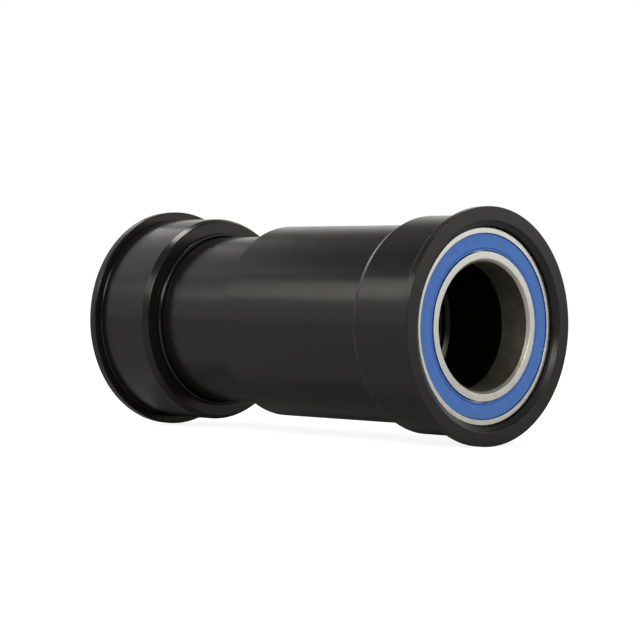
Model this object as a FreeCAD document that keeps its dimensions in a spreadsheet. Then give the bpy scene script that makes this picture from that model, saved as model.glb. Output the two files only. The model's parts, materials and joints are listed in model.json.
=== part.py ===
"""Thread-together press-fit bottom bracket with two sealed ball bearings.

The spindle axis is X, the drive side is +X and up is +Z. The origin is on the axis, midway
between the two flanges. All sizes are millimetres and degrees.
"""
import FreeCAD, Part
import math
import os
import re
import Sketcher

# Driving dimensions: alias, value, meaning.
SIZES = [
    ("shell_width", 86.5, "frame shell, between the two flanges' inner faces"),
    ("shell_bore", 41.0, "frame shell's bore, which is also the press lands' diameter"),
    ("flange_overhang", 1.6, "flange beyond the press land, on the radius"),
    ("flange_thickness", 1.6, "flange outside the shell"),
    ("flange_break", 0.08, "bevel on the flange's edges"),
    ("land_length", 13.0, "press land at its full diameter, from the flange"),
    ("land_relief_length", 0.6, "shallow groove beside the flange"),
    ("land_relief_depth", 0.15, "shallow groove beside the flange"),
    ("lead_in_length", 1.25, "taper at the land's inner end, along the axis"),
    ("lead_in_depth", 0.5, "taper at the land's inner end, on the radius"),
    ("edge_break", 0.15, "bevel on the small sharp edges"),
    ("barrel_wall", 1.9, "drive cup's long barrel, outside its plain bore"),
    ("barrel_reach", 51.8, "drive cup from its flange's inner face to the barrel's mouth"),
    ("neck_diameter", 33.6, "non-drive cup's sleeve where it slides in the barrel"),
    ("pilot_clearance", 0.1, "neck in the barrel's mouth, on the radius"),
    ("pilot_depth", 8.0, "plain bore in the barrel's mouth, up to the thread"),
    ("pilot_engagement", 4.0, "length of neck inside the barrel"),
    ("thread_step", 0.4, "from the neck down to the sleeve's thread, on the radius"),
    ("thread_pitch", 1.5, "right-hand thread between the cups"),
    ("thread_height_ratio", 0.567, "height of a thread ridge, in pitches"),
    ("thread_crest_ratio", 0.125, "flat on top of a thread ridge, in pitches"),
    ("thread_clearance", 0.2, "between the two threads, on the radius"),
    ("thread_runout", 1.5, "groove between the neck and its thread"),
    ("sleeve_thread_length", 16.0, "thread on the sleeve"),
    ("barrel_thread_length", 20.0, "thread in the barrel"),
    ("sleeve_wall", 1.25, "sleeve under its thread"),
    ("hollow_margin", 0.1, "relieved bore behind the bearings outside the barrel's thread, on the radius"),
    ("hollow_depth", 4.0, "relieved bore behind the non-drive bearing"),
    ("seal_ring_section", 0.8, "rubber ring at the root of the neck"),
    ("seal_ring_gap", 0.05, "rubber ring to the neck and to the cup's end face"),
    ("bearing_bore", 24.0, "spindle diameter"),
    ("bearing_diameter", 37.0, "bearing's outside"),
    ("bearing_width", 7.0, "bearing along the axis"),
    ("bearing_recess", 1.3, "bearing's face below the flange's outer face"),
    ("seat_clearance", 0.02, "bearing in its seat, on the radius"),
    ("mouth_bevel_width", 1.0, "bevel at the seat's mouth, on the radius"),
    ("mouth_bevel_depth", 0.55, "bevel at the seat's mouth, along the axis"),
    ("bore_break", 0.5, "bevel on the inner race's bore"),
    ("rim_break", 0.35, "bevel on the outer race's rim"),
    ("ball_diameter", 3.5, "steel ball"),
    ("ball_count", 17, "balls in one bearing"),
    ("groove_clearance", 0.07, "ball in its groove, on the radius"),
    ("shoulder_height", 0.8, "groove shoulder to the circle of ball centres"),
    ("shoulder_length", 4.6, "full-height shoulders of both races, along the axis"),
    ("inner_race_wall", 1.8, "inner race beyond its shoulders"),
    ("outer_race_wall", 1.28, "outer race at its ends"),
    ("seal_groove_depth", 0.3, "groove that holds the seal's bead, on the radius"),
    ("seal_groove_length", 0.6, "groove that holds the seal's bead, along the axis"),
    ("seal_groove_lip", 0.35, "lip outside the seal groove, along the axis"),
    ("seal_recess", 0.15, "seal's face below the bearing's face"),
    ("seal_thickness", 0.75, "rubber seal"),
    ("seal_fit", 0.12, "seal in the outer race, all round"),
    ("seal_lip_gap", 0.18, "seal's lip to the inner race"),
    ("seal_lip_width", 0.3, "thin lip inside the seal's face, on the radius"),
    ("seal_line_width", 0.14, "fine groove round the lip"),
    ("seal_line_depth", 0.16, "fine groove round the lip"),
    ("core_thickness", 0.3, "steel core in the back of the seal"),
    ("core_margin", 0.35, "rubber inside and outside the core, on the radius"),
    ("core_fit", 0.04, "core in its pocket, on the radius"),
    ("cage_sheet", 0.3, "cage's sheet steel"),
    ("cage_width", 1.2, "cage ribbon, on the radius"),
    ("cage_pocket_clearance", 0.08, "ball in its cage pocket, on the radius"),
    ("rivet_head_margin", 0.1, "cage rivet's head to the pockets on either side"),
    ("rivet_shank_ratio", 0.6, "cage rivet's shank, in diameters of its head"),
    ("rivet_hole_clearance", 0.03, "rivet in the cage, on the radius"),
    ("rivet_head_height", 0.25, "cage rivet's head"),
]

# Places along the axis and radii that several pieces share, as formulas of the sheet's values.
FLANGE_OUT = "(shell_width / 2 + flange_thickness)"
FLANGE_IN = "(shell_width / 2)"
LAND_START = f"({FLANGE_IN} - land_relief_length)"
LAND_END = f"({FLANGE_IN} - land_length)"
LEAD_END = f"({LAND_END} - lead_in_length)"
BEARING_CENTRE = f"({FLANGE_OUT} - bearing_recess - bearing_width / 2)"
SHOULDER = f"({BEARING_CENTRE} - bearing_width / 2)"
BARREL_END = f"({FLANGE_IN} - barrel_reach)"
NECK_END = f"({BARREL_END} + pilot_engagement)"
SLEEVE_THREAD_START = f"({NECK_END} + thread_runout)"
SLEEVE_END = f"({SLEEVE_THREAD_START} + sleeve_thread_length)"
BARREL_THREAD_START = f"({BARREL_END} + pilot_depth)"
BARREL_THREAD_END = f"({BARREL_THREAD_START} + barrel_thread_length)"

LAND_RADIUS = "(shell_bore / 2)"
FLANGE_RADIUS = f"({LAND_RADIUS} + flange_overhang)"
NECK_RADIUS = "(neck_diameter / 2)"
PILOT_RADIUS = f"({NECK_RADIUS} + pilot_clearance)"
BARREL_RADIUS = f"({PILOT_RADIUS} + barrel_wall)"
THREAD_HEIGHT = "(thread_pitch * thread_height_ratio)"
THREAD_CREST = "(thread_pitch * thread_crest_ratio)"
THREAD_RADIUS = f"({NECK_RADIUS} - thread_step)"
THREAD_ROOT = f"({THREAD_RADIUS} - {THREAD_HEIGHT})"
SLEEVE_BORE = f"({THREAD_ROOT} - sleeve_wall)"
HOLLOW_RADIUS = f"({THREAD_RADIUS} + thread_clearance + hollow_margin)"
SEAT_RADIUS = "(bearing_diameter / 2 + seat_clearance)"
MOUTH_RADIUS = f"({SEAT_RADIUS} + mouth_bevel_width)"
PITCH_RADIUS = "((bearing_bore + bearing_diameter) / 4)"
GROOVE_RADIUS = "(ball_diameter / 2 + groove_clearance)"
INNER_FACE = "(bearing_bore / 2 + inner_race_wall)"
OUTER_FACE = "(bearing_diameter / 2 - outer_race_wall)"
SEAL_FRONT = "(bearing_width / 2 - seal_recess)"
SEAL_BACK = f"({SEAL_FRONT} - seal_thickness)"
SEAL_RADIUS = f"({OUTER_FACE} - seal_fit)"
LIP_RADIUS = f"({INNER_FACE} + seal_lip_gap)"
CORE_INNER = f"({LIP_RADIUS} + core_margin)"
CORE_OUTER = f"({SEAL_RADIUS} - core_margin)"
CAGE_INNER = f"({PITCH_RADIUS} - cage_width / 2)"
CAGE_POCKET = "(ball_diameter / 2 + cage_pocket_clearance)"
RIVET_TURN = "(180 deg / ball_count)"
RIVET_ACROSS = f"({PITCH_RADIUS} * cos{RIVET_TURN})"
RIVET_UP = f"({PITCH_RADIUS} * sin{RIVET_TURN})"
RIVET_HEAD = f"({RIVET_UP} - {CAGE_POCKET} - cage_sheet - rivet_head_margin)"
RIVET_SHANK = f"({RIVET_HEAD} * rivet_shank_ratio)"

FLANK = "tan(30 deg)"       # slope of a thread flank
RUN_PAST = "thread_pitch"   # thread cutters run this far past a thread's end
OVERCUT = "0.1"             # cutting profiles start this far clear of the surface they cut

NAMES = re.compile(r"\b(" + "|".join(name for name, _, _ in SIZES) + r")\b")

doc = FreeCAD.newDocument("bottom_bracket")
sheet = doc.addObject("Spreadsheet::Sheet", "Sizes")
for row, (name, value, meaning) in enumerate(SIZES, start=1):
    sheet.set(f"A{row}", meaning)
    sheet.set(f"B{row}", str(value))
    sheet.setAlias(f"B{row}", name)
doc.recompute()

subparts = []


def formula(text):
    """The document's expression for a formula in the sheet's aliases."""
    return NAMES.sub(r"Sizes.\1", str(text))


def value(text):
    """What a formula comes to now."""
    result = sheet.evalExpression(formula(text))
    return float(getattr(result, "Value", result))


def new_body(label):
    """An empty body for one sub-part."""
    body = doc.addObject("PartDesign::Body", label)
    body.Label = label
    subparts.append(body)
    return body


def origin_feature(body, role):
    """One of the body's own planes or axes."""
    return next(item for item in body.Origin.OriginFeatures if item.Role == role)


def new_sketch(body, name, plane="XY_Plane", offset=None):
    """A sketch on one of the body's own planes, moved along the plane's normal by offset."""
    sketch = body.newObject("Sketcher::SketchObject", f"{body.Label}_{name}")
    sketch.AttachmentSupport = [(origin_feature(body, plane), "")]
    sketch.MapMode = "FlatFace"
    if offset is not None:
        sketch.setExpression("AttachmentOffset.Base.z", formula(offset))
    return sketch


def place_point(sketch, geometry, point, across, up):
    """Ties one point of the sketch's geometry to two formulas."""
    for kind, text in (("DistanceX", across), ("DistanceY", up)):
        number = sketch.addConstraint(Sketcher.Constraint(kind, -1, 1, geometry, point, value(text)))
        sketch.setExpression(f"Constraints[{number}]", formula(text))


def outline(body, name, corners):
    """A closed outline whose corners are (place along the axis, radius)."""
    sketch = new_sketch(body, name)
    places = [FreeCAD.Vector(value(along), value(radius), 0) for along, radius in corners]
    following = places[1:] + places[:1]
    for start, end in zip(places, following):
        sketch.addGeometry(Part.LineSegment(start, end))
    for number in range(len(corners)):
        after = (number + 1) % len(corners)
        sketch.addConstraint(Sketcher.Constraint("Coincident", number, 2, after, 1))
    for number, (along, radius) in enumerate(corners):
        place_point(sketch, number, 1, along, radius)
    return sketch


def circle(sketch, across, up, radius):
    """A circle whose centre and radius are formulas."""
    centre = FreeCAD.Vector(value(across), value(up), 0)
    round_edge = Part.Circle(centre, FreeCAD.Vector(0, 0, 1), value(radius))
    number = sketch.addGeometry(round_edge)
    if value(across) == 0 and value(up) == 0:
        sketch.addConstraint(Sketcher.Constraint("Coincident", number, 3, -1, 1))
    else:
        place_point(sketch, number, 3, across, up)
    size = sketch.addConstraint(Sketcher.Constraint("Radius", number, value(radius)))
    sketch.setExpression(f"Constraints[{size}]", formula(radius))


def turned(body, kind, name, sketch):
    """A full turn of the sketch about the spindle axis: PartDesign Revolution or Groove."""
    feature = body.newObject(f"PartDesign::{kind}", f"{body.Label}_{name}")
    feature.Profile = sketch
    feature.ReferenceAxis = (origin_feature(body, "X_Axis"), [""])
    feature.Angle = 360
    doc.recompute()
    return feature


def thread(body, name, corners, length):
    """A right-hand helical cut along the axis, starting at the outline."""
    cut = body.newObject("PartDesign::SubtractiveHelix", f"{body.Label}_{name}")
    cut.Profile = outline(body, f"{name}_profile", corners)
    cut.ReferenceAxis = (origin_feature(body, "X_Axis"), [""])
    cut.Mode = "pitch-height-angle"
    cut.setExpression("Pitch", formula("thread_pitch"))
    cut.setExpression("Height", formula(length))
    before = body.Shape.Volume
    doc.recompute()
    if body.Shape.Volume > before - 1:
        raise RuntimeError(f"{cut.Label} cut nothing")


def repeat_round_axis(body, features, name):
    """One copy of the features at each ball."""
    pattern = body.newObject("PartDesign::PolarPattern", f"{body.Label}_{name}")
    pattern.Originals = features
    pattern.Axis = (origin_feature(body, "X_Axis"), [""])
    pattern.Angle = 360
    pattern.setExpression("Occurrences", formula("ball_count"))
    body.Tip = pattern
    doc.recompute()


def seat(body, side):
    """Stands a bearing's piece in its cup, with its own +X facing outboard."""
    if side == "non_drive":
        body.Placement = FreeCAD.Placement(FreeCAD.Vector(), FreeCAD.Rotation(FreeCAD.Vector(0, 0, 1), 180))
    sign = "" if side == "drive" else "-"
    body.setExpression("Placement.Base.x", formula(f"{sign}{BEARING_CENTRE}"))


def face_end(body, end):
    """Turns a seated piece over about Y if it belongs at the bearing's inboard end."""
    if end == "inboard":
        turn_over = FreeCAD.Rotation(FreeCAD.Vector(0, 1, 0), 180)
        body.Placement.Rotation = body.Placement.Rotation.multiply(turn_over)


def cup_outside(sign):
    """Corners of a cup's mouth, flange, press land and lead-in, from the mouth inboard."""
    corners = [
        (FLANGE_OUT, MOUTH_RADIUS),
        (FLANGE_OUT, f"{FLANGE_RADIUS} - flange_break"),
        (f"{FLANGE_OUT} - flange_break", FLANGE_RADIUS),
        (f"{FLANGE_IN} + edge_break", FLANGE_RADIUS),
        (FLANGE_IN, f"{FLANGE_RADIUS} - edge_break"),
        (FLANGE_IN, LAND_RADIUS),
        (f"{FLANGE_IN} - land_relief_depth", f"{LAND_RADIUS} - land_relief_depth"),
        (LAND_START, f"{LAND_RADIUS} - land_relief_depth"),
        (LAND_START, LAND_RADIUS),
        (LAND_END, LAND_RADIUS),
        (f"{LEAD_END} + edge_break", f"{LAND_RADIUS} - lead_in_depth"),
        (LEAD_END, f"{LAND_RADIUS} - lead_in_depth - edge_break"),
    ]
    return [(f"{sign}({along})", radius) for along, radius in corners]


def cup_seat(sign):
    """Corners of a cup's bearing seat, from the shoulder out to the mouth's bevel."""
    corners = [
        (SHOULDER, HOLLOW_RADIUS),
        (SHOULDER, SEAT_RADIUS),
        (f"{FLANGE_OUT} - mouth_bevel_depth", SEAT_RADIUS),
    ]
    return [(f"{sign}({along})", radius) for along, radius in corners]


def drive_side_cup():
    """Long cup: flange, press land, barrel with a threaded bore, and bearing seat."""
    body = new_body("drive_side_cup")
    bore = f"({THREAD_ROOT} + thread_clearance)"
    barrel = [
        (LEAD_END, BARREL_RADIUS),
        (f"{BARREL_END} + edge_break", BARREL_RADIUS),
        (BARREL_END, f"{BARREL_RADIUS} - edge_break"),
        (BARREL_END, f"{PILOT_RADIUS} + 2 * edge_break"),
        (f"{BARREL_END} + 2 * edge_break", PILOT_RADIUS),
        (BARREL_THREAD_START, PILOT_RADIUS),
        (f"{BARREL_THREAD_START} + {PILOT_RADIUS} - {bore}", bore),
        (BARREL_THREAD_END, bore),
        (BARREL_THREAD_END, HOLLOW_RADIUS),
    ]
    sketch = outline(body, "section", cup_outside("") + barrel + cup_seat(""))
    turned(body, "Revolution", "turning", sketch)

    # The barrel's grooves face the sleeve's ridges, so they start half a pitch out of step.
    start = f"({NECK_END} + thread_runout / 2 + 1.5 * thread_pitch)"
    tip = f"({THREAD_RADIUS} + thread_clearance)"
    base = f"({bore} - {OVERCUT})"
    base_half = f"({THREAD_CREST} / 2 + ({tip} - {base}) * {FLANK})"
    corners = [
        (f"{start} - {THREAD_CREST} / 2", tip),
        (f"{start} + {THREAD_CREST} / 2", tip),
        (f"{start} + {base_half}", base),
        (f"{start} - {base_half}", base),
    ]
    thread(body, "thread", corners, f"{BARREL_THREAD_END} - {start} + {RUN_PAST}")


def non_drive_cup():
    """Short cup with the threaded sleeve that screws into the barrel."""
    body = new_body("non_drive_cup")
    bore = SLEEVE_BORE
    hollow_end = f"(-{SHOULDER} + hollow_depth)"
    sleeve = [
        (f"-{LEAD_END}", NECK_RADIUS),
        (f"{NECK_END} - edge_break", NECK_RADIUS),
        (NECK_END, f"{NECK_RADIUS} - edge_break"),
        (NECK_END, f"{THREAD_ROOT} - {OVERCUT}"),
        (SLEEVE_THREAD_START, f"{THREAD_ROOT} - {OVERCUT}"),
        (f"{SLEEVE_THREAD_START} + {THREAD_HEIGHT}", THREAD_RADIUS),
        (f"{SLEEVE_END} - {THREAD_HEIGHT}", THREAD_RADIUS),
        (SLEEVE_END, THREAD_ROOT),
        (SLEEVE_END, f"{bore} + edge_break"),
        (f"{SLEEVE_END} - edge_break", bore),
        (f"{hollow_end} + {HOLLOW_RADIUS} - {bore}", bore),
        (hollow_end, HOLLOW_RADIUS),
    ]
    sketch = outline(body, "section", cup_outside("-") + sleeve + cup_seat("-"))
    turned(body, "Revolution", "turning", sketch)

    start = f"({NECK_END} + thread_runout / 2)"
    ridge_root_half = f"({THREAD_CREST} / 2 + {THREAD_HEIGHT} * {FLANK})"
    root_half = f"(thread_pitch / 2 - {ridge_root_half})"
    top = f"({THREAD_RADIUS} + {OVERCUT})"
    top_half = f"(thread_pitch / 2 - {THREAD_CREST} / 2 + {OVERCUT} * {FLANK})"
    corners = [
        (f"{start} - {root_half}", THREAD_ROOT),
        (f"{start} + {root_half}", THREAD_ROOT),
        (f"{start} + {top_half}", top),
        (f"{start} - {top_half}", top),
    ]
    thread(body, "thread", corners, f"{SLEEVE_END} - {start} + {RUN_PAST}")


def neck_o_ring():
    """Rubber ring round the neck's root, against the non-drive cup's end face."""
    ring = doc.addObject("Part::Torus", "neck_o_ring")
    ring.Label = "neck_o_ring"
    half = "(seal_ring_section / 2)"
    ring.setExpression("Radius1", formula(f"{NECK_RADIUS} + seal_ring_gap + {half}"))
    ring.setExpression("Radius2", formula(half))
    ring.Placement = FreeCAD.Placement(FreeCAD.Vector(), FreeCAD.Rotation(FreeCAD.Vector(0, 1, 0), 90))
    ring.setExpression("Placement.Base.x", formula(f"-{LEAD_END} + seal_ring_gap + {half}"))
    subparts.append(ring)


def ball_groove(body):
    """Cuts the balls' track into a race."""
    sketch = new_sketch(body, "track")
    circle(sketch, "0", PITCH_RADIUS, GROOVE_RADIUS)
    before = body.Shape.Volume
    turned(body, "Groove", "track_cut", sketch)
    if body.Shape.Volume > before - 1:
        raise RuntimeError(f"{body.Label} has no ball track")


def mirrored(corners):
    """A half section from its outboard end to the middle, completed on the other side."""
    return corners + [(f"-({along})", radius) for along, radius in reversed(corners)]


def outer_race(side):
    """Fixed ring with the ball track inside and a seal groove at each end."""
    body = new_body(f"{side}_bearing_outer_race")
    end = "(bearing_width / 2)"
    groove_out = f"({end} - seal_groove_lip)"
    groove_in = f"({groove_out} - seal_groove_length)"
    inside = [
        ("shoulder_length / 2", f"{PITCH_RADIUS} + shoulder_height"),
        ("shoulder_length / 2", OUTER_FACE),
        (groove_in, OUTER_FACE),
        (groove_in, f"{OUTER_FACE} + seal_groove_depth"),
        (groove_out, f"{OUTER_FACE} + seal_groove_depth"),
        (groove_out, OUTER_FACE),
        (end, OUTER_FACE),
        (end, "bearing_diameter / 2 - rim_break"),
        (f"{end} - rim_break", "bearing_diameter / 2"),
    ]
    turned(body, "Revolution", "ring", outline(body, "section", mirrored(inside)))
    ball_groove(body)
    seat(body, side)


def inner_race(side):
    """Ring that turns with the spindle."""
    body = new_body(f"{side}_bearing_inner_race")
    end = "(bearing_width / 2)"
    outside = [
        ("shoulder_length / 2", f"{PITCH_RADIUS} - shoulder_height"),
        ("shoulder_length / 2", INNER_FACE),
        (end, INNER_FACE),
        (end, "bearing_bore / 2 + bore_break"),
        (f"{end} - bore_break", "bearing_bore / 2"),
    ]
    turned(body, "Revolution", "ring", outline(body, "section", mirrored(outside)))
    ball_groove(body)
    seat(body, side)


def balls(side):
    """All balls of one bearing, the first at +Y."""
    body = new_body(f"{side}_bearing_balls")
    body.AllowCompound = True
    ball = body.newObject("PartDesign::AdditiveSphere", f"{body.Label}_ball")
    ball.setExpression("Radius", formula("ball_diameter / 2"))
    ball.AttachmentSupport = [(origin_feature(body, "XY_Plane"), "")]
    ball.MapMode = "FlatFace"
    ball.setExpression("AttachmentOffset.Base.y", formula(PITCH_RADIUS))
    doc.recompute()
    repeat_round_axis(body, [ball], "all_balls")
    seat(body, side)


def cut_round_ribbon(body, sketch, name, along_normal):
    """Cuts the sketch through the ribbon and repeats the cut at each ball."""
    pocket = body.newObject("PartDesign::Pocket", f"{body.Label}_{name}")
    pocket.Profile = sketch
    pocket.Type = 1
    pocket.Reversed = along_normal
    before = body.Shape.Volume
    doc.recompute()
    if body.Shape.Volume >= before:
        raise RuntimeError(f"{pocket.Label} cut nothing")
    repeat_round_axis(body, [pocket], f"{name}s")


def cage_half(side, end):
    """Pressed ribbon with a half-round pocket over each ball, between it and the next a flat."""
    body = new_body(f"{side}_bearing_cage_{end}")
    flat = [
        ("0", CAGE_INNER),
        ("0", f"{CAGE_INNER} + cage_width"),
        ("cage_sheet", f"{CAGE_INNER} + cage_width"),
        ("cage_sheet", CAGE_INNER),
    ]
    turned(body, "Revolution", "flat", outline(body, "flat_section", flat))

    # The XZ plane's normal is -Y and the first ball is at +Y, so the offset is negative.
    arch = new_sketch(body, "arch", "XZ_Plane", f"-{CAGE_INNER}")
    radius = value(f"{CAGE_POCKET} + cage_sheet")
    round_edge = Part.Circle(FreeCAD.Vector(), FreeCAD.Vector(0, 0, 1), radius)
    arch.addGeometry(Part.ArcOfCircle(round_edge, -math.pi / 2, math.pi / 2))
    arch.addGeometry(Part.LineSegment(FreeCAD.Vector(0, radius, 0), FreeCAD.Vector(0, -radius, 0)))
    arch.addConstraint(Sketcher.Constraint("Coincident", 0, 3, -1, 1))
    arch.addConstraint(Sketcher.Constraint("Coincident", 0, 2, 1, 1))
    arch.addConstraint(Sketcher.Constraint("Coincident", 1, 2, 0, 1))
    arch.addConstraint(Sketcher.Constraint("Vertical", 1))
    arch.addConstraint(Sketcher.Constraint("PointOnObject", 1, 1, -2))
    size = arch.addConstraint(Sketcher.Constraint("Radius", 0, radius))
    arch.setExpression(f"Constraints[{size}]", formula(f"{CAGE_POCKET} + cage_sheet"))
    pad = body.newObject("PartDesign::Pad", f"{body.Label}_pocket_wall")
    pad.Profile = arch
    pad.Reversed = True
    pad.setExpression("Length", formula("cage_width"))
    doc.recompute()
    repeat_round_axis(body, [pad], "pocket_walls")

    opening = new_sketch(body, "pocket", "XZ_Plane", f"cage_width - {CAGE_INNER}")
    circle(opening, "0", "0", CAGE_POCKET)
    cut_round_ribbon(body, opening, "pocket_cut", False)

    hole = new_sketch(body, "rivet_hole", "YZ_Plane")
    circle(hole, RIVET_ACROSS, RIVET_UP, f"{RIVET_SHANK} + rivet_hole_clearance")
    cut_round_ribbon(body, hole, "rivet_hole_cut", True)

    seat(body, side)
    face_end(body, end)


def cage_rivets(side):
    """Headed pins that hold the two cage ribbons together between the balls."""
    body = new_body(f"{side}_bearing_cage_rivets")
    body.AllowCompound = True
    stages = [
        ("shank", "-cage_sheet", "2 * cage_sheet", RIVET_SHANK),
        ("front_head", "cage_sheet", "rivet_head_height", RIVET_HEAD),
        ("back_head", "-cage_sheet - rivet_head_height", "rivet_head_height", RIVET_HEAD),
    ]
    pads = []
    for name, start, length, radius in stages:
        sketch = new_sketch(body, name, "YZ_Plane", start)
        circle(sketch, RIVET_ACROSS, RIVET_UP, radius)
        pad = body.newObject("PartDesign::Pad", f"{body.Label}_{name}_pad")
        pad.Profile = sketch
        pad.setExpression("Length", formula(length))
        doc.recompute()
        pads.append(pad)
    repeat_round_axis(body, pads, "all_rivets")
    seat(body, side)


def seal(side, end):
    """Rubber disc held by its bead in the outer race, with a thin lip over the inner race."""
    body = new_body(f"{side}_bearing_seal_{end}")
    bead = f"({OUTER_FACE} + seal_groove_depth - seal_fit)"
    bead_front = "(bearing_width / 2 - seal_groove_lip - seal_fit)"
    line_inner = f"({LIP_RADIUS} + seal_lip_width)"
    line_outer = f"({line_inner} + seal_line_width)"
    line_floor = f"({SEAL_FRONT} - seal_line_depth)"
    core_floor = f"({SEAL_BACK} + core_thickness)"
    section = [
        (SEAL_BACK, LIP_RADIUS),
        (f"{SEAL_FRONT} - edge_break / 2", LIP_RADIUS),
        (SEAL_FRONT, f"{LIP_RADIUS} + edge_break / 2"),
        (SEAL_FRONT, line_inner),
        (line_floor, f"{line_inner} + seal_line_width / 3"),
        (line_floor, f"{line_outer} - seal_line_width / 3"),
        (SEAL_FRONT, line_outer),
        (SEAL_FRONT, f"{SEAL_RADIUS} - edge_break"),
        (f"{SEAL_FRONT} - edge_break", SEAL_RADIUS),
        (bead_front, SEAL_RADIUS),
        (bead_front, bead),
        (SEAL_BACK, bead),
        (SEAL_BACK, f"{CORE_OUTER} + core_fit"),
        (core_floor, f"{CORE_OUTER} + core_fit"),
        (core_floor, f"{CORE_INNER} - core_fit"),
        (SEAL_BACK, f"{CORE_INNER} - core_fit"),
    ]
    turned(body, "Revolution", "disc", outline(body, "section", section))
    seat(body, side)
    face_end(body, end)


def seal_core(side, end):
    """Flat steel washer that stiffens the seal from behind."""
    body = new_body(f"{side}_bearing_seal_core_{end}")
    section = [
        (SEAL_BACK, CORE_INNER),
        (f"{SEAL_BACK} + core_thickness", CORE_INNER),
        (f"{SEAL_BACK} + core_thickness", CORE_OUTER),
        (SEAL_BACK, CORE_OUTER),
    ]
    turned(body, "Revolution", "washer", outline(body, "section", section))
    seat(body, side)
    face_end(body, end)


def bearing(side):
    """All the pieces of one sealed bearing."""
    outer_race(side)
    inner_race(side)
    balls(side)
    cage_rivets(side)
    for end in ("outboard", "inboard"):
        cage_half(side, end)
        seal(side, end)
        seal_core(side, end)


def check_and_export():
    """Stops on any failed object, then writes one STEP file per sub-part."""
    doc.recompute()
    for item in doc.Objects:
        if "Invalid" in item.State or "Error" in item.State:
            raise RuntimeError(f"{item.Name} failed: {item.State}")
    for item in subparts:
        if item.Shape.isNull() or not item.Shape.isValid() or not item.Shape.Solids:
            raise RuntimeError(f"{item.Label} has no valid solid")
    os.makedirs("parts", exist_ok=True)
    for item in subparts:
        item.Shape.exportStep(f"parts/{item.Label}.step")
        box = item.Shape.BoundBox
        print(f"{item.Label}: {len(item.Shape.Solids)} solids, {item.Shape.Volume:.1f} mm3, "
              f"x {box.XMin:.2f} to {box.XMax:.2f}")


drive_side_cup()
non_drive_cup()
neck_o_ring()
for cup_side in ("drive", "non_drive"):
    bearing(cup_side)
check_and_export()
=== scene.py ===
"""Looks of a thread-together press-fit bottom bracket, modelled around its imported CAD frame.

Sizes are metres. The spindle axis is X, the drive side is +X and up is +Z.
"""
import json
import math

import bmesh
import bpy
from mathutils import Matrix, Vector


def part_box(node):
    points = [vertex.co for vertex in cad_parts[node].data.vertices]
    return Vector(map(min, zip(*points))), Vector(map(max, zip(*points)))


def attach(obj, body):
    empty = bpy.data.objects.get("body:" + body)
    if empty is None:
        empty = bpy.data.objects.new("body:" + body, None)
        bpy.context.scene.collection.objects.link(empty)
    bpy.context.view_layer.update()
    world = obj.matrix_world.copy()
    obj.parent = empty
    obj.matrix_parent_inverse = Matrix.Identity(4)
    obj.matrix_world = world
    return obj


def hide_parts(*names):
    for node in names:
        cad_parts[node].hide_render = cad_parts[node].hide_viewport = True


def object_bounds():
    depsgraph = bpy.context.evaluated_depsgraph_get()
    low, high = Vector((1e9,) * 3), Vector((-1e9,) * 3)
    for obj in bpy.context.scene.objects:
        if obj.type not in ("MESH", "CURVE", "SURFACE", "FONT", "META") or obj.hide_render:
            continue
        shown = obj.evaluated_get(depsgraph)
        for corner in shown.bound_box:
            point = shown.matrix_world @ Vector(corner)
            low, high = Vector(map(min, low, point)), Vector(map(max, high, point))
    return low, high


bl_info = {
    "name": "Bottom Bracket",
    "version": (1, 0, 0),
    "blender": (4, 5, 0),
    "location": "View3D > Sidebar > Bottom Bracket",
    "description": "Models the cups, bearings and seals of a bottom bracket around its CAD frame",
    "category": "Add Mesh",
}

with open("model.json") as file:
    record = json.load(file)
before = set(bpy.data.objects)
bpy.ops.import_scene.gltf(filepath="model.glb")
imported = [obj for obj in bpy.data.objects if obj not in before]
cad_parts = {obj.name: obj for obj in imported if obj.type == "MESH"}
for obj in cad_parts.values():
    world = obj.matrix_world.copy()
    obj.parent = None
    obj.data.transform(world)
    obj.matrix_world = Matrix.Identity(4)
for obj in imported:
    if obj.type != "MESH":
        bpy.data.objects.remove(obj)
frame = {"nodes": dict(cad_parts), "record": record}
CAD_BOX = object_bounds()

MM = 0.001
AXIS = (1, 0, 0)            # the spindle
TURN_STEPS = 192            # facets in a full turn
ROUNDING_STEPS = 3          # facets across a rounded edge
TRACK_STEPS = 16            # facets across a ball track
MERGE = 0.2 * MM / 1000     # vertices nearer than this are one
FINE = 0.03 * MM            # rounding of a small machined edge
EDGE = 0.07 * MM            # rounding of a machined edge that catches the light
SHARP = math.radians(40)    # edges between faces that turn more than this stay crisp
EVEN_WEIGHT = 90            # how far the large faces lead the smooth shading
RING_STEPS = 32             # facets round the section of the neck's ring
FLANK = math.radians(30)    # slope of the thread's flanks, from square to the axis
HONED_SHARE = 0.6           # part of the bore's bevel, on the radius, that is honed like the bore

SIDES = ("drive", "non_drive")
ENDS = ("outboard", "inboard")
CUP_NODES = {"drive": "drive_side_cup", "non_drive": "non_drive_cup"}


def mounts(name):
    """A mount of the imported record, by name."""
    return next(mount for mount in frame["record"]["mounts"] if mount["name"] == name)


def reach(node):
    """A node's lowest and highest place along the spindle axis, and its outer radius."""
    low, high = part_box(node)
    return low[0], high[0], (high[2] - low[2]) / 2


def node_body(node):
    """The body that a CAD node rides on."""
    bodies = frame["record"]["behaviour"]["bodies"]
    return next(name for name, nodes in bodies.items() if node in nodes)


def length(name, description, millimetres):
    """A length property whose default is given in millimetres."""
    return bpy.props.FloatProperty(
        name=name, description=description, default=millimetres * MM, min=0, unit="LENGTH", precision=5)


def tint(name, description, colour):
    """A colour property."""
    return bpy.props.FloatVectorProperty(
        name=name, description=description, default=colour, size=3, min=0, max=1, subtype="COLOR")


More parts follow.
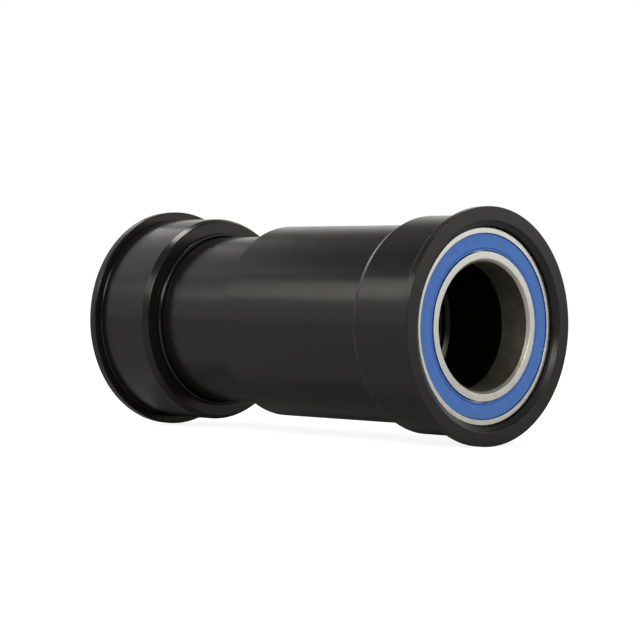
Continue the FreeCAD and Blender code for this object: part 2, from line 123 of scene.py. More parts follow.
class CupSizes(bpy.types.PropertyGroup):
    """Machined details of the two cups."""
    flange_overhang: length("Flange overhang", "Flange beyond the press land, on the radius", 1.6)
    flange_bevel: length("Flange bevel", "Bevel on the flange's outboard edge", 0.08)
    land_length: length("Land length", "Press land at its full diameter, from the flange", 13.0)
    relief_length: length("Relief length", "Width of the shallow groove beside the flange", 0.6)
    relief_depth: length("Relief depth", "Depth of the shallow groove beside the flange", 0.15)
    lead_length: length("Lead-in length", "Taper at the land's inner end, along the axis", 1.25)
    lead_depth: length("Lead-in depth", "Taper at the land's inner end, on the radius", 0.5)
    small_bevel: length("Small bevel", "Bevel on small sharp edges", 0.15)
    mouth_width: length("Mouth bevel width", "Bevel at the bearing seat's mouth, on the radius", 1.0)
    mouth_depth: length("Mouth bevel depth", "Bevel at the bearing seat's mouth, along the axis", 0.55)
    seat_clearance: length("Seat clearance", "Bearing in its seat, on the radius", 0.02)
    neck_radius: length("Neck radius", "Sleeve where it slides in the barrel", 16.8)
    neck_clearance: length("Neck clearance", "Neck in the barrel's mouth, on the radius", 0.1)
    neck_engagement: length("Neck engagement", "Neck inside the barrel", 4.0)
    barrel_wall: length("Barrel wall", "Barrel outside its plain bore", 1.9)
    pilot_depth: length("Plain bore depth", "Barrel's mouth up to its thread", 8.0)
    barrel_thread: length("Barrel thread", "Length of the thread in the barrel", 20.0)
    sleeve_thread: length("Sleeve thread", "Length of the thread on the sleeve", 16.0)
    sleeve_wall: length("Sleeve wall", "Sleeve under its thread", 1.25)
    hollow_radius: length("Hollow radius", "Relieved bore behind the bearings", 16.7)
    hollow_depth: length("Hollow depth", "Relieved bore behind the non-drive bearing", 4.0)


class ThreadSizes(bpy.types.PropertyGroup):
    """The right-hand thread between the cups."""
    pitch: length("Pitch", "Advance of one turn", 1.5)
    height: length("Height", "Height of a ridge", 0.8505)
    crest: length("Crest", "Flat on top of a ridge", 0.1875)
    step: length("Step", "From the neck down to the sleeve's thread, on the radius", 0.4)
    clearance: length("Clearance", "Between the two threads, on the radius", 0.2)
    runout: length("Run-out", "Groove between the neck and its thread", 1.5)


class BearingSizes(bpy.types.PropertyGroup):
    """Races and seals of the two ball bearings."""
    inner_wall: length("Inner race wall", "Inner race beyond its bore, at the ends", 1.8)
    outer_wall: length("Outer race wall", "Outer race at its ends", 1.28)
    bore_bevel: length("Bore bevel", "Bevel on the inner race's bore", 0.5)
    rim_bevel: length("Rim bevel", "Bevel on the outer race's rim", 0.35)
    pitch_radius: length("Ball circle", "Radius of the circle of ball centres", 15.25)
    track_radius: length("Track radius", "Radius of the ball track in the races", 1.82)
    shoulder_height: length("Shoulder height", "Groove shoulder to the ball circle", 0.8)
    shoulder_length: length("Shoulder length", "Full-height shoulders, along the axis", 4.6)
    groove_depth: length("Seal groove depth", "Depth of the groove that holds the seal's bead", 0.3)
    groove_length: length("Seal groove length", "Width of the groove that holds the seal's bead", 0.6)
    groove_lip: length("Seal groove lip", "Outer race outside the seal groove", 0.35)
    lip_gap: length("Lip gap", "Seal's lip to the inner race", 0.22)
    lip_width: length("Lip width", "Thin lip inside the seal's face", 0.3)
    line_width: length("Lip line width", "Width of the fine groove round the lip", 0.18)
    line_depth: length("Lip line depth", "Depth of the fine groove round the lip", 0.22)
    seal_fit: length("Seal fit", "Seal in the outer race", 0.16)
    core_thickness: length("Core thickness", "Steel core in the back of the seal", 0.3)
    core_margin: length("Core margin", "Rubber inside and outside the core, on the radius", 0.35)
    core_fit: length("Core fit", "Core in its pocket, on the radius", 0.04)


class FinishColours(bpy.types.PropertyGroup):
    """Colours of the finishes."""
    anodised: tint("Black anodising", "Both cups", (0.0092, 0.0085, 0.0075))
    steel: tint("Ground steel", "Bearing races", (0.90, 0.875, 0.80))
    honed: tint("Honed steel", "Bores of the inner races", (0.72, 0.67, 0.55))
    ball: tint("Polished steel", "Balls", (0.82, 0.81, 0.79))
    cage: tint("Pressed steel", "Cages, rivets and seal cores", (0.55, 0.53, 0.50))
    seal: tint("Blue rubber", "Bearing seals", (0.090, 0.245, 0.710))
    ring: tint("Black rubber", "Neck's sealing ring", (0.010, 0.010, 0.010))
    floor: tint("Floor", "Floor", (0.40, 0.40, 0.40))


class StageSizes(bpy.types.PropertyGroup):
    """Camera and lights."""
    camera_distance: length("Camera distance", "Camera to the object's middle", 474.2)
    camera_aim: bpy.props.FloatVectorProperty(
        name="Camera aim", description="Point that the camera looks at", size=3, unit="LENGTH",
        precision=5, default=(-0.10 * MM, -0.105 * MM, 0.37 * MM))
    camera_azimuth: bpy.props.FloatProperty(
        name="Camera azimuth", description="Camera round the object, from -Y towards +X",
        default=math.radians(46.06), subtype="ANGLE")
    camera_elevation: bpy.props.FloatProperty(
        name="Camera elevation", description="Camera above the object's middle",
        default=math.radians(0.785), subtype="ANGLE")
    camera_roll: bpy.props.FloatProperty(
        name="Camera roll", description="Turn of the camera about its own line of sight",
        default=math.radians(0.756), subtype="ANGLE")
    camera_lens: bpy.props.FloatProperty(
        name="Camera lens", description="Focal length in millimetres on a 36 mm sensor",
        default=135.61, min=1)
    floor_size: length("Floor size", "Side of the floor", 8000.0)


# ---------------------------------------------------------------- meshes

def finished(mesh, name, body, slot, *nodes):
    """Makes the piece's object, riding on its body in place of its CAD nodes.

    It is shaded smooth, with crisp edges where its faces turn sharply.
    """
    bmesh.ops.remove_doubles(mesh, verts=mesh.verts[:], dist=MERGE)
    bmesh.ops.recalc_face_normals(mesh, faces=mesh.faces[:])
    for face in mesh.faces:
        face.smooth = True
    for edge in mesh.edges:
        edge.smooth = edge.calc_face_angle(0) < SHARP
    data = bpy.data.meshes.new(name)
    mesh.to_mesh(data)
    mesh.free()
    piece = bpy.data.objects.new(name, data)
    bpy.context.scene.collection.objects.link(piece)
    shading = piece.modifiers.new("even_faces", "WEIGHTED_NORMAL")
    shading.mode = "FACE_AREA_WITH_ANGLE"
    shading.weight = EVEN_WEIGHT
    shading.keep_sharp = True
    data.materials.append(finish(slot))
    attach(piece, body)
    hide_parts(*nodes)


def section(corners):
    """A closed section in the XY plane. Each corner is (along the axis, radius, rounding)."""
    mesh = bmesh.new()
    points = [mesh.verts.new((along, radius, 0)) for along, radius, _ in corners]
    mesh.faces.new(points)
    for rounding in sorted({corner[2] for corner in corners} - {0}):
        rounded = [point for point, corner in zip(points, corners) if corner[2] == rounding]
        bmesh.ops.bevel(
            mesh, geom=rounded, offset=rounding, offset_type="OFFSET", affect="VERTICES",
            segments=ROUNDING_STEPS, profile=0.5, material=-1)
    bmesh.ops.delete(mesh, geom=mesh.faces[:], context="FACES_ONLY")
    return mesh


def turn(mesh, use_merge=True):
    """Turns the mesh a full turn about the spindle axis, and gives the points of its last copy."""
    spun = bmesh.ops.spin(
        mesh, geom=mesh.verts[:] + mesh.edges[:], cent=(0, 0, 0), axis=AXIS, dvec=(0, 0, 0),
        angle=math.tau, steps=TURN_STEPS, use_merge=use_merge, use_normal_flip=False,
        use_duplicate=False)
    return {item for item in spun["geom_last"] if isinstance(item, bmesh.types.BMVert)}


def turn_with_thread(mesh, start, end, base, centre, thread, rise_at):
    """Turns a section whose edge from start to end at the base radius carries the thread.

    A ridge's middle passes through the centre on the +Y side. The edge gets a point at each
    corner of each ridge, and every point follows the helix until it meets an end of the thread.
    rise_at(place, rise) gives the height over the base radius, from the height of the full thread.
    """
    top = thread.crest / 2
    foot = top + thread.height * math.tan(FLANK)
    half_step = math.pi / TURN_STEPS
    first = centre - math.ceil((centre - start) / thread.pitch + 1) * thread.pitch
    ridges = math.ceil((end - first) / thread.pitch) + 1
    corners = [first + ridge * thread.pitch + offset
               for ridge in range(ridges) for offset in (-foot, -top, top, foot)]

    edge = min(mesh.edges, key=lambda item: sum(
        abs(point.co.x - place) + abs(point.co.y - base)
        for point, place in zip(sorted(item.verts, key=lambda point: point.co.x), (start, end))))
    bmesh.ops.subdivide_edges(mesh, edges=[edge], cuts=len(corners) - 2)
    inside = (end - start) / (len(corners) - 1)
    columns = {round((point.co.x - start) / inside) for point in mesh.verts
               if abs(point.co.y - base) < MERGE and start - MERGE < point.co.x < end + MERGE}
    if len(columns) != len(corners):
        raise RuntimeError("the thread's edge was not found in the section")

    last = turn(mesh, use_merge=False)
    for point in mesh.verts:
        across = math.hypot(point.co.y, point.co.z)
        if abs(across - base) > MERGE or not start - MERGE < point.co.x < end + MERGE:
            continue
        angle = math.tau if point in last else math.atan2(point.co.z, point.co.y) % math.tau
        if angle > math.tau - half_step and point not in last:
            angle = 0
        column = round((point.co.x - start) / inside)
        advance = thread.pitch * angle / math.tau
        along = min(max(corners[column] + advance, start), end)
        off = (along - centre - advance + thread.pitch / 2) % thread.pitch - thread.pitch / 2
        rise = thread.height * min(max((foot - abs(off)) / (foot - top), 0), 1)
        radius = base + rise_at(along, rise)
        point.co = (along, radius * math.cos(angle), radius * math.sin(angle))


def cup_end(name):
    """Distance from the middle of the shell to a cup's outboard face."""
    return max(abs(place) for place in reach(CUP_NODES[name])[:2])


def neck_end_place(sizes):
    """Place along the axis where the neck ends, inside the barrel's mouth."""
    return reach(CUP_NODES["drive"])[0] + sizes.neck_engagement


def ridge_middle(sizes, thread):
    """Middle of a thread ridge on the +Y side, in the run-out beside the neck's end."""
    return neck_end_place(sizes) + (thread.runout + thread.pitch) / 2


def cup_outside(sizes, name):
    """Corners of a cup from its mouth over the flange and land to the lead-in's end.

    They are given as (distance from the middle of the shell, radius, rounding).
    """
    face = abs(mounts(f"{name}_flange_face")["pos_m"][0])
    land = mounts(f"{name}_shell_land")["dims"]["r_mm"] * MM
    out = cup_end(name)
    flange = land + sizes.flange_overhang
    bearing = reach(f"{name}_bearing_outer_race")[2]
    mouth = bearing + sizes.seat_clearance + sizes.mouth_width
    land_end = face - sizes.land_length
    lead_end = land_end - sizes.lead_length
    low_land = land - sizes.relief_depth
    foot = land - sizes.lead_depth
    return [
        (out, mouth, 2 * FINE),
        (out, flange - sizes.flange_bevel, FINE),
        (out - sizes.flange_bevel, flange, FINE),
        (face + sizes.small_bevel, flange, EDGE),
        (face, flange - sizes.small_bevel, EDGE),
        (face, land, 0),
        (face - sizes.relief_depth, low_land, FINE),
        (face - sizes.relief_length, low_land, FINE),
        (face - sizes.relief_length, land, EDGE),
        (land_end, land, EDGE),
        (lead_end + sizes.small_bevel, foot, EDGE),
        (lead_end, foot - sizes.small_bevel, EDGE),
    ]


def cup_seat(sizes, name):
    """Corners of a cup's bearing seat, from the shoulder behind the bearing out to the mouth."""
    low, high, radius = reach(f"{name}_bearing_outer_race")
    shoulder = min(abs(low), abs(high))
    out = cup_end(name)
    seat = radius + sizes.seat_clearance
    return [
        (shoulder, sizes.hollow_radius, FINE),
        (shoulder, seat, 0),
        (out - sizes.mouth_depth, seat, EDGE),
    ]


def on_side(corners, name):
    """Puts corners given outboard from the shell's middle on their own side of the axis."""
    sign = 1 if name == "drive" else -1
    return [(sign * along, radius, rounding) for along, radius, rounding in corners]


def seal_section(half, front, back, inner_face, outer_face, sizes):
    """Corners of a seal: its face and lip, its bead and the pocket in its back for the core.

    Places along the axis count from the bearing's middle towards the seal's face, and half is
    half of the bearing's width.
    """
    lip = inner_face + sizes.lip_gap
    edge = outer_face - sizes.seal_fit
    bead = edge + sizes.groove_depth
    line_in = lip + sizes.lip_width
    line_out = line_in + sizes.line_width
    line_floor = front - sizes.line_depth
    bead_front = half - sizes.groove_lip - sizes.seal_fit
    pocket_in = lip + sizes.core_margin - sizes.core_fit
    pocket_out = edge - sizes.core_margin + sizes.core_fit
    pocket_floor = back + sizes.core_thickness
    return [
        (back, lip, FINE),
        (front, lip, 2 * FINE),
        (front, line_in, FINE),
        (line_floor, line_in + sizes.line_width / 3, 0),
        (line_floor, line_out - sizes.line_width / 3, 0),
        (front, line_out, FINE),
        (front, edge, 4 * FINE),
        (bead_front, edge, 0),
        (bead_front, bead, FINE),
        (back, bead, FINE),
        (back, pocket_out, 0),
        (pocket_floor, pocket_out, 0),
        (pocket_floor, pocket_in, 0),
        (back, pocket_in, 0),
    ]


def race_section(low, high, face, rim, bevel, sizes, outward):
    """Corners of a race from its shoulder, over one end, along its rim and back.

    The shoulder stands on the side of the ball circle that outward gives: 1 for the outer race.
    """
    middle = (low + high) / 2
    half = (high - low) / 2
    shoulder = sizes.pitch_radius + outward * sizes.shoulder_height
    wide = sizes.shoulder_length / 2
    end = [(wide, shoulder, 0), (wide, face, 0)]
    if outward > 0:
        groove_out = half - sizes.groove_lip
        groove_in = groove_out - sizes.groove_length
        deep = face + sizes.groove_depth
        end += [(groove_in, face, FINE), (groove_in, deep, 0), (groove_out, deep, 0),
                (groove_out, face, FINE)]
    end += [(half, face, FINE), (half, rim - outward * bevel, 2 * FINE),
            (half - bevel, rim, 2 * FINE)]

    # The ball track runs as an arc from one shoulder to the other.
    swing = math.asin((shoulder - sizes.pitch_radius) / sizes.track_radius * outward)
    track = []
    for step in range(TRACK_STEPS + 1):
        angle = swing + (math.pi - 2 * swing) * step / TRACK_STEPS
        track.append((sizes.track_radius * math.cos(angle),
                      sizes.pitch_radius + outward * sizes.track_radius * math.sin(angle), 0))
    mirrored = [(-along, radius, rounding) for along, radius, rounding in reversed(end)]
    return [(middle + along, radius, rounding)
            for along, radius, rounding in end + mirrored + track[::-1]]


# ---------------------------------------------------------------- finishes

def add(tree, kind, settings=None, **links):
    """Adds a node. Settings are its own values, and links are its inputs: a value or a socket."""
    item = tree.nodes.new(f"ShaderNode{kind}")
    for name, value in (settings or {}).items():
        setattr(item, name, value)
    for name, value in links.items():
        socket = item.inputs[int(name[1:])] if name[0] == "_" else item.inputs[name.replace("_", " ")]
        if isinstance(value, bpy.types.NodeSocket):
            tree.links.new(value, socket)
        else:
            socket.default_value = value
    return item


def turned_place(tree):
    """A place on a turned surface: along the axis and out from it, without the turn."""
    place = add(tree, "TexCoord").outputs["Object"]
    split = add(tree, "SeparateXYZ", Vector=place)
    across = add(tree, "CombineXYZ", Y=split.outputs["Y"], Z=split.outputs["Z"])
    radius = add(tree, "VectorMath", {"operation": "LENGTH"}, _0=across.outputs["Vector"])
    both = add(tree, "CombineXYZ", X=split.outputs["X"], Y=radius.outputs["Value"])
    return place, both.outputs["Vector"]


def noise(tree, place, scale, detail=2.0, roughness=0.5):
    """A noise whose features are about one over the scale, in metres."""
    return add(tree, "TexNoise", Vector=place, Scale=scale, Detail=detail,
               Roughness=roughness).outputs["Fac"]


def between(tree, factor, low, high):
    """Maps a noise's middle half onto low to high."""
    return add(tree, "MapRange", Value=factor, _1=0.25, _2=0.75, _3=low, _4=high).outputs["Result"]


def shaded(tree, colour, factor, low, high):
    """The colour made darker and lighter by a noise."""
    amount = between(tree, factor, low, high)
    scaled = add(tree, "VectorMath", {"operation": "SCALE"}, _0=tuple(colour), Scale=amount)
    return scaled.outputs["Vector"]


def bumps(tree, layers):
    """Bumps laid on one another. Each layer is (height socket, depth in metres)."""
    normal = None
    for height, depth in layers:
        item = add(tree, "Bump", Strength=1.0, Distance=depth, Height=height)
        if normal is not None:
            tree.links.new(normal, item.inputs["Normal"])
        normal = item.outputs["Normal"]
    return normal


def surface(slot, colour_of, roughness_of, normal_of, **constants):
    """A material whose colour, roughness and bumps come from noises, with constant sockets."""
    material = bpy.data.materials.new(f"{slot}_finish")
    material.use_nodes = True
    tree = material.node_tree
    shader = tree.nodes["Principled BSDF"]
    for name, value in constants.items():
        shader.inputs[name.replace("_", " ")].default_value = value
    place, turned = turned_place(tree)
    tree.links.new(colour_of(tree, place, turned), shader.inputs["Base Color"])
    tree.links.new(roughness_of(tree, place, turned), shader.inputs["Roughness"])
    tree.links.new(normal_of(tree, place, turned), shader.inputs["Normal"])
    return material


def black_anodised(colours):
    """Black anodised aluminium with fine lines from the lathe."""
    return surface(
        "black_anodised",
        lambda tree, place, turned: shaded(
            tree, colours.anodised, noise(tree, place, 900, 4), 0.8, 1.25),
        lambda tree, place, turned: between(tree, noise(tree, place, 260, 2), 0.20, 0.25),
        lambda tree, place, turned: bumps(tree, [(noise(tree, turned, 5000, 2), 0.0004 * MM)]),
        Metallic=0.0, IOR=1.5, Specular_Tint=(1.0, 0.99, 0.88, 1.0))


def bore_to_face(tree, turned, low, high):
    """A value that goes from low in a race's honed bore to high on its ground faces."""
    bevel = bpy.context.scene.bracket_bearings.bore_bevel
    bore = mounts("drive_spindle_bore")["dims"]["r_mm"] * MM
    radius = add(tree, "SeparateXYZ", Vector=turned).outputs["Y"]
    return add(tree, "MapRange", Value=radius, _1=bore + HONED_SHARE * bevel, _2=bore + bevel,
               _3=low, _4=high).outputs["Result"]


def race_steel(colours):
    """Ground bearing steel with fine concentric lines, and duller in the honed bore."""
    def colour(tree, place, turned):
        """The steel, browner in the bore."""
        ground = shaded(tree, colours.steel, noise(tree, turned, 5000, 4), 0.94, 1.05)
        honed = shaded(tree, colours.honed, noise(tree, turned, 4000, 4), 0.85, 1.1)
        share = bore_to_face(tree, turned, 0.0, 1.0)
        return add(tree, "Mix", {"data_type": "RGBA"}, _0=share, _6=honed, _7=ground).outputs[2]

    def roughness(tree, place, turned):
        """Smooth on the faces and rough in the bore."""
        faces = between(tree, noise(tree, place, 700, 5), 0.20, 0.32)
        share = bore_to_face(tree, turned, 1.0, 0.0)
        both = add(tree, "Math", {"operation": "MULTIPLY_ADD"}, _0=share, _1=0.15, _2=faces)
        return both.outputs["Value"]

    def normal(tree, place, turned):
        """Concentric lines, deeper in the bore."""
        share = bore_to_face(tree, turned, 1.0, 0.01)
        lines = add(tree, "Math", {"operation": "MULTIPLY"}, _0=noise(tree, turned, 12000, 3), _1=share)
        return bumps(tree, [(lines.outputs["Value"], 0.014 * MM)])

    return surface("race_steel", colour, roughness, normal, Metallic=1.0)


def ball_steel(colours):
    """Polished ball steel."""
    return surface(
        "ball_steel",
        lambda tree, place, turned: shaded(tree, colours.ball, noise(tree, place, 1500), 0.96, 1.03),
        lambda tree, place, turned: between(tree, noise(tree, place, 2500, 4), 0.05, 0.10),
        lambda tree, place, turned: bumps(tree, [(noise(tree, place, 9000), 0.0002 * MM)]),
        Metallic=1.0)


def pressed_steel(slot):
    """Thin pressed steel, for the cages, rivets and seal cores."""
    def make(colours):
        """The pressed steel of one slot."""
        return surface(
            slot,
            lambda tree, place, turned: shaded(
                tree, colours.cage, noise(tree, place, 1200, 4), 0.85, 1.1),
            lambda tree, place, turned: between(tree, noise(tree, place, 2200, 4), 0.28, 0.42),
            lambda tree, place, turned: bumps(tree, [(noise(tree, place, 6000, 3), 0.0015 * MM)]),
            Metallic=1.0)
    return make


def seal_rubber(colours):
    """Blue moulded rubber with a fine grain."""
    return surface(
        "seal_rubber",
        lambda tree, place, turned: shaded(
            tree, colours.seal, noise(tree, place, 650, 5, 0.6), 0.9, 1.1),
        lambda tree, place, turned: between(tree, noise(tree, place, 1800, 4), 0.38, 0.52),
        lambda tree, place, turned: bumps(tree, [
            (noise(tree, place, 7000, 3), 0.004 * MM),
            (noise(tree, turned, 2500, 2), 0.003 * MM)]),
        IOR=1.5)


def o_ring_rubber(colours):
    """Glossy black rubber."""
    return surface(
        "o_ring_rubber",
        lambda tree, place, turned: shaded(tree, colours.ring, noise(tree, place, 900, 4), 0.8, 1.2),
        lambda tree, place, turned: between(tree, noise(tree, place, 2600, 4), 0.08, 0.14),
        lambda tree, place, turned: bumps(tree, [(noise(tree, place, 5000, 2), 0.002 * MM)]),
        IOR=1.52)


FINISHES = {
    "black_anodised": black_anodised,
    "race_steel": race_steel,
    "ball_steel": ball_steel,
    "cage_steel": pressed_steel("cage_steel"),
    "rivet_steel": pressed_steel("rivet_steel"),
    "core_steel": pressed_steel("core_steel"),
    "seal_rubber": seal_rubber,
    "o_ring_rubber": o_ring_rubber,
}


def finish(slot):
    """The material of a slot, made when it is first asked for."""
    made = bpy.data.materials.get(f"{slot}_finish")
    return made or FINISHES[slot](bpy.context.scene.bracket_colours)


# ---------------------------------------------------------------- operators

class BRACKET_OT_drive_cup(bpy.types.Operator):
    """Turn the long drive-side cup with its threaded barrel"""
    bl_idname = "bracket.drive_cup"
    bl_label = "Drive-side cup"

    def execute(self, context):
        sizes = context.scene.bracket_cups
        thread = context.scene.bracket_thread
        outside = cup_outside(sizes, "drive")
        lead_end = outside[-1][0]
        mouth = reach("drive_side_cup")[0]
        pilot = sizes.neck_radius + sizes.neck_clearance
        barrel = pilot + sizes.barrel_wall
        bore = sizes.neck_radius - thread.step - thread.height + thread.clearance
        small = sizes.small_bevel
        plain_end = mouth + sizes.pilot_depth
        end = plain_end + sizes.barrel_thread
        corners = outside + [
            (lead_end, barrel, FINE),
            (mouth + small, barrel, 2 * FINE),
            (mouth, barrel - small, 2 * FINE),
            (mouth, pilot + 2 * small, FINE),
            (mouth + 2 * small, pilot, FINE),
            (plain_end, pilot, 0),
            (plain_end, bore, 0),
            (end, bore, 0),
            (end, sizes.hollow_radius, 0),
        ] + cup_seat(sizes, "drive")
        mesh = section(corners)

        # The groove runs out through the cone between the plain bore and the thread.
        turn_with_thread(mesh, plain_end, end, bore, ridge_middle(sizes, thread), thread,
                         lambda along, rise: max(rise, pilot - bore - (along - plain_end)))
        finished(mesh, "drive_cup_turned", node_body("drive_side_cup"), "black_anodised",
                 "drive_side_cup")
        return {"FINISHED"}


class BRACKET_OT_non_drive_cup(bpy.types.Operator):
    """Turn the non-drive cup with its neck and threaded sleeve"""
    bl_idname = "bracket.non_drive_cup"
    bl_label = "Non-drive cup"

    def execute(self, context):
        sizes = context.scene.bracket_cups
        thread = context.scene.bracket_thread
        outside = on_side(cup_outside(sizes, "non_drive"), "non_drive")
        lead_end = outside[-1][0]
        neck = sizes.neck_radius
        neck_end = neck_end_place(sizes)
        root = neck - thread.step - thread.height
        bore = root - sizes.sleeve_wall
        small = sizes.small_bevel
        start = neck_end + thread.runout
        end = start + sizes.sleeve_thread
        seat = on_side(cup_seat(sizes, "non_drive"), "non_drive")
        hollow_end = seat[0][0] + sizes.hollow_depth
        corners = outside + [
            (lead_end, neck, FINE),
            (neck_end - small, neck, FINE),
            (neck_end, neck - small, FINE),
            (neck_end, root, FINE),
            (start, root, 0),
            (end, root, 0),
            (end, bore + small, FINE),
            (end - small, bore, FINE),
            (hollow_end + sizes.hollow_radius - bore, bore, FINE),
            (hollow_end, sizes.hollow_radius, 0),
        ] + seat
        mesh = section(corners)
        turn_with_thread(mesh, start, end, root, ridge_middle(sizes, thread), thread,
                         lambda along, rise: min(rise, along - start, end - along))
        finished(mesh, "non_drive_cup_turned", node_body("non_drive_cup"), "black_anodised",
                 "non_drive_cup")
        return {"FINISHED"}


class BRACKET_OT_neck_ring(bpy.types.Operator):
    """Mould the rubber ring round the root of the neck"""
    bl_idname = "bracket.neck_ring"
    bl_label = "Neck ring"

    def execute(self, context):
        low, high, radius = reach("neck_o_ring")
        half = (high - low) / 2
        middle = Matrix.Translation((low + half, radius - half, 0))
        mesh = bmesh.new()
        bmesh.ops.create_circle(mesh, cap_ends=False, segments=RING_STEPS, radius=half, matrix=middle)
        turn(mesh)
        finished(mesh, "neck_ring_moulded", node_body("neck_o_ring"), "o_ring_rubber", "neck_o_ring")
        return {"FINISHED"}


class BRACKET_OT_races(bpy.types.Operator):
    """Grind the inner and outer races of both bearings"""
    bl_idname = "bracket.races"
    bl_label = "Bearing races"

    def execute(self, context):
        sizes = context.scene.bracket_bearings
        for side in SIDES:
            low, high, rim = reach(f"{side}_bearing_outer_race")
            bore = mounts(f"{side}_spindle_bore")["dims"]["r_mm"] * MM
            races = (
                ("outer_race", rim - sizes.outer_wall, rim, sizes.rim_bevel, 1),
                ("inner_race", bore + sizes.inner_wall, bore, sizes.bore_bevel, -1),
            )
            for race, face, edge, bevel, outward in races:
                node = f"{side}_bearing_{race}"
                mesh = section(race_section(low, high, face, edge, bevel, sizes, outward))
                turn(mesh)
                finished(mesh, f"{side}_{race}_ground", node_body(node), "race_steel", node)
        return {"FINISHED"}


class BRACKET_OT_seals(bpy.types.Operator):
    """Mould the four blue bearing seals"""
    bl_idname = "bracket.seals"
    bl_label = "Bearing seals"

    def execute(self, context):
        sizes = context.scene.bracket_bearings
        for side in SIDES:
            low, high, rim = reach(f"{side}_bearing_outer_race")
            bore = mounts(f"{side}_spindle_bore")["dims"]["r_mm"] * MM
            middle = (low + high) / 2
            for end in ENDS:
                node = f"{side}_bearing_seal_{end}"
                near, far = sorted((place - middle for place in reach(node)[:2]), key=abs)
                sign = math.copysign(1, far)
                corners = seal_section(
                    high - middle, abs(far), abs(near), bore + sizes.inner_wall,
                    rim - sizes.outer_wall, sizes)
                mesh = section([(middle + sign * along, radius, rounding)
                                for along, radius, rounding in corners])
                turn(mesh)
                finished(mesh, f"{side}_seal_{end}_moulded", node_body(node), "seal_rubber", node)
        return {"FINISHED"}


class BRACKET_OT_rolling_parts(bpy.types.Operator):
    """Finish the balls, cages, rivets and seal cores of both bearings"""
    bl_idname = "bracket.rolling_parts"
    bl_label = "Balls, cages and cores"

    def execute(self, context):
        slots = {"balls": "ball_steel", "cage_outboard": "cage_steel", "cage_inboard": "cage_steel",
                 "cage_rivets": "rivet_steel", "seal_core_outboard": "core_steel",
                 "seal_core_inboard": "core_steel"}
        for side in SIDES:
            for part, slot in slots.items():
                for place in frame["nodes"][f"{side}_bearing_{part}"].material_slots:
                    place.material = finish(slot)
        return {"FINISHED"}


# ---------------------------------------------------------------- stage

LAMP_DISTANCE = 0.7         # soft boxes to the origin
SOFT_BOXES = {              # direction, width, height and brightness of each
    "front_soft_box": ((-0.198, -0.824, 0.531), 1.02, 0.22, 1.6),
    "left_soft_box": ((-0.835, -0.053, 0.546), 0.50, 0.21, 0.6),
    "top_soft_box": ((-0.31, 0.02, 0.95), 0.22, 0.22, 9.0),
    "back_soft_box": ((-0.86, 0.25, 0.45), 0.21, 0.17, 1.8),
    "fore_soft_box": ((0.35, -0.80, 0.49), 0.35, 0.22, 4.0),
    "right_soft_box": ((0.93, -0.15, 0.33), 0.14, 0.26, 6.0),
}
SOFT_FILL = 0.4             # even light from all round, which reflections don't show
FLOOR_GLOW = 0.88           # white that the camera sees added to the lit floor
SENSOR_WIDTH = 36           # millimetres, as the lens is given


def soft_box(name, direction, width, height, brightness):
    """A rectangular light that faces the origin, as bright from any distance."""
    lamp = bpy.data.lights.new(name, "AREA")
    lamp.shape = "RECTANGLE"
    lamp.size = width
    lamp.size_y = height
    lamp.energy = brightness * math.pi * width * height
    item = bpy.data.objects.new(name, lamp)
    bpy.context.scene.collection.objects.link(item)
    place = Vector(direction).normalized() * LAMP_DISTANCE
    item.location = place
    item.rotation_euler = (-place).to_track_quat("-Z", "Y").to_euler()


def towards(tree, direction, side, start, end, low, high):
    """A value that goes from low to high as the direction turns towards one side."""
    facing = add(tree, "VectorMath", {"operation": "DOT_PRODUCT"}, _0=direction, _1=side)
    return add(tree, "MapRange", {"interpolation_type": "SMOOTHSTEP"}, Value=facing.outputs["Value"],
               _1=start, _2=end, _3=low, _4=high).outputs["Result"]


def paint_world():
    """White to the camera, a soft fill, and for reflections a white horizon with dimmer sides."""
    world = bpy.data.worlds.new("studio")
    bpy.context.scene.world = world
    world.use_nodes = True
    tree = world.node_tree
    tree.nodes.clear()
    direction = add(tree, "TexCoord").outputs["Generated"]
    split = add(tree, "SeparateXYZ", Vector=direction)
    height = add(tree, "MapRange", {"interpolation_type": "SMOOTHSTEP"}, Value=split.outputs["Z"],
                 _1=0.30, _2=0.62, _3=1.0, _4=0.16)
    back = towards(tree, direction, side=(0.6, 0.8, 0), start=-0.8, end=0.6, low=0.56, high=1.0)
    front = towards(tree, direction, side=(0.72, -0.694, 0), start=0.45, end=0.85, low=1.0, high=0.08)
    sides = add(tree, "Math", {"operation": "MULTIPLY"}, _0=back, _1=front)
    level = add(tree, "Math", {"operation": "MULTIPLY"}, _0=height.outputs["Result"],
                _1=sides.outputs["Value"])
    rays = add(tree, "LightPath")
    seen = add(tree, "Math", {"operation": "MAXIMUM"}, _0=level.outputs["Value"],
               _1=rays.outputs["Is Camera Ray"])
    mirrored = add(tree, "Math", {"operation": "MAXIMUM"}, _0=rays.outputs["Is Glossy Ray"],
                   _1=rays.outputs["Is Transmission Ray"])
    shown = add(tree, "Math", {"operation": "MAXIMUM"}, _0=mirrored.outputs["Value"],
                _1=rays.outputs["Is Camera Ray"])
    background = add(tree, "Background", Color=(1, 1, 1, 1), Strength=seen.outputs["Value"])
    fill = add(tree, "Background", Color=(1, 1, 1, 1), Strength=SOFT_FILL)
    mix = add(tree, "MixShader", _0=shown.outputs["Value"], _1=fill.outputs["Background"],
              _2=background.outputs["Background"])
    add(tree, "OutputWorld", Surface=mix.outputs["Shader"])


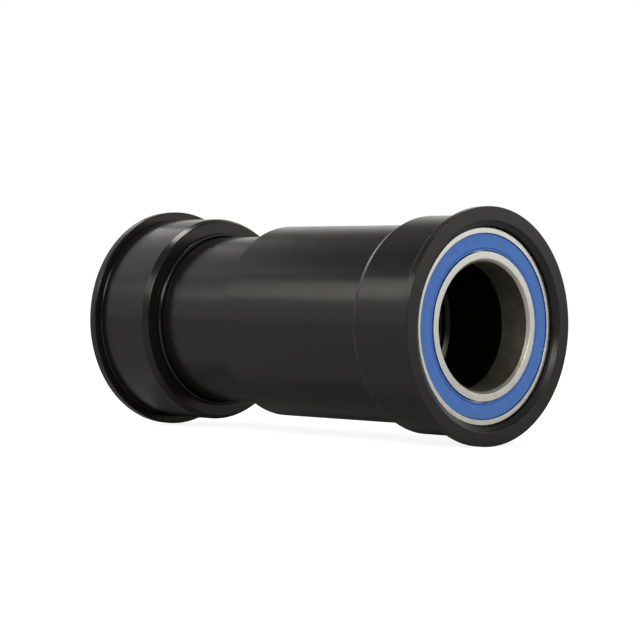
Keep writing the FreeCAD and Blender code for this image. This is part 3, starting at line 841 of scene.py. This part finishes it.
def lay_floor(colours, size):
    """A grey floor under the object, which looks white to the camera and keeps a faint shadow."""
    mesh = bmesh.new()
    level = Matrix.Translation((0, 0, CAD_BOX[0][2]))
    bmesh.ops.create_grid(mesh, x_segments=1, y_segments=1, size=size / 2, matrix=level)
    data = bpy.data.meshes.new("floor")
    mesh.to_mesh(data)
    mesh.free()
    floor = bpy.data.objects.new("floor", data)
    bpy.context.scene.collection.objects.link(floor)
    material = bpy.data.materials.new("floor_finish")
    material.use_nodes = True
    tree = material.node_tree
    tree.nodes.clear()
    matte = add(tree, "BsdfDiffuse", Color=(*colours.floor, 1))
    rays = add(tree, "LightPath")
    glow = add(tree, "Math", {"operation": "MULTIPLY"}, _0=rays.outputs["Is Camera Ray"],
               _1=FLOOR_GLOW)
    white = add(tree, "Emission", Color=(1, 1, 1, 1), Strength=glow.outputs["Value"])
    both = add(tree, "AddShader", _0=matte.outputs["BSDF"], _1=white.outputs["Emission"])
    add(tree, "OutputMaterial", Surface=both.outputs["Shader"])
    data.materials.append(material)


def place_camera(stage):
    """A camera that looks at the camera aim from its own azimuth, elevation and distance."""
    data = bpy.data.cameras.new("camera")
    data.lens = stage.camera_lens
    data.sensor_width = SENSOR_WIDTH
    camera = bpy.data.objects.new("camera", data)
    bpy.context.scene.collection.objects.link(camera)
    turn_about = Matrix.Rotation(stage.camera_azimuth, 3, "Z") @ Matrix.Rotation(
        -stage.camera_elevation, 3, "X")
    back = turn_about @ Vector((0, -1, 0))
    camera.location = back * stage.camera_distance + Vector(stage.camera_aim)
    facing = (-back).to_track_quat("-Z", "Y").to_matrix() @ Matrix.Rotation(stage.camera_roll, 3, "Z")
    camera.rotation_euler = facing.to_euler()
    bpy.context.scene.camera = camera


class BRACKET_OT_stage(bpy.types.Operator):
    """Set up the floor, lights, background and camera"""
    bl_idname = "bracket.stage"
    bl_label = "Stage"

    def execute(self, context):
        scene = context.scene
        scene.view_settings.view_transform = "Standard"
        lay_floor(scene.bracket_colours, scene.bracket_stage.floor_size)
        paint_world()
        for name, (direction, width, height, brightness) in SOFT_BOXES.items():
            soft_box(name, direction, width, height, brightness)
        place_camera(scene.bracket_stage)
        return {"FINISHED"}


class BRACKET_PT_panel(bpy.types.Panel):
    """Lists the bottom bracket's pieces and sizes"""
    bl_label = "Bottom Bracket"
    bl_idname = "BRACKET_PT_panel"
    bl_space_type = "VIEW_3D"
    bl_region_type = "UI"
    bl_category = "Bottom Bracket"

    def draw(self, context):
        for operator in OPERATORS:
            self.layout.operator(operator.bl_idname)
        for name in GROUPS:
            group = getattr(context.scene, name)
            for size in group.bl_rna.properties.keys():
                if size not in ("rna_type", "name"):
                    self.layout.prop(group, size)


OPERATORS = (
    BRACKET_OT_drive_cup,
    BRACKET_OT_non_drive_cup,
    BRACKET_OT_neck_ring,
    BRACKET_OT_races,
    BRACKET_OT_seals,
    BRACKET_OT_rolling_parts,
    BRACKET_OT_stage,
)
GROUPS = {
    "bracket_cups": CupSizes,
    "bracket_thread": ThreadSizes,
    "bracket_bearings": BearingSizes,
    "bracket_colours": FinishColours,
    "bracket_stage": StageSizes,
}


def register():
    """Makes the sizes, operators and panel known to Blender."""
    for group in GROUPS.values():
        bpy.utils.register_class(group)
    for name, group in GROUPS.items():
        setattr(bpy.types.Scene, name, bpy.props.PointerProperty(type=group))
    for item in (*OPERATORS, BRACKET_PT_panel):
        bpy.utils.register_class(item)


def unregister():
    """Undoes register."""
    for item in (BRACKET_PT_panel, *OPERATORS[::-1]):
        bpy.utils.unregister_class(item)
    for name in GROUPS:
        delattr(bpy.types.Scene, name)
    for group in GROUPS.values():
        bpy.utils.unregister_class(group)


def main():
    """Builds every piece and the stage."""
    register()
    bpy.ops.bracket.drive_cup()
    bpy.ops.bracket.non_drive_cup()
    bpy.ops.bracket.neck_ring()
    bpy.ops.bracket.races()
    bpy.ops.bracket.seals()
    bpy.ops.bracket.rolling_parts()
    bpy.ops.bracket.stage()


if __name__ == "__main__":
    main()
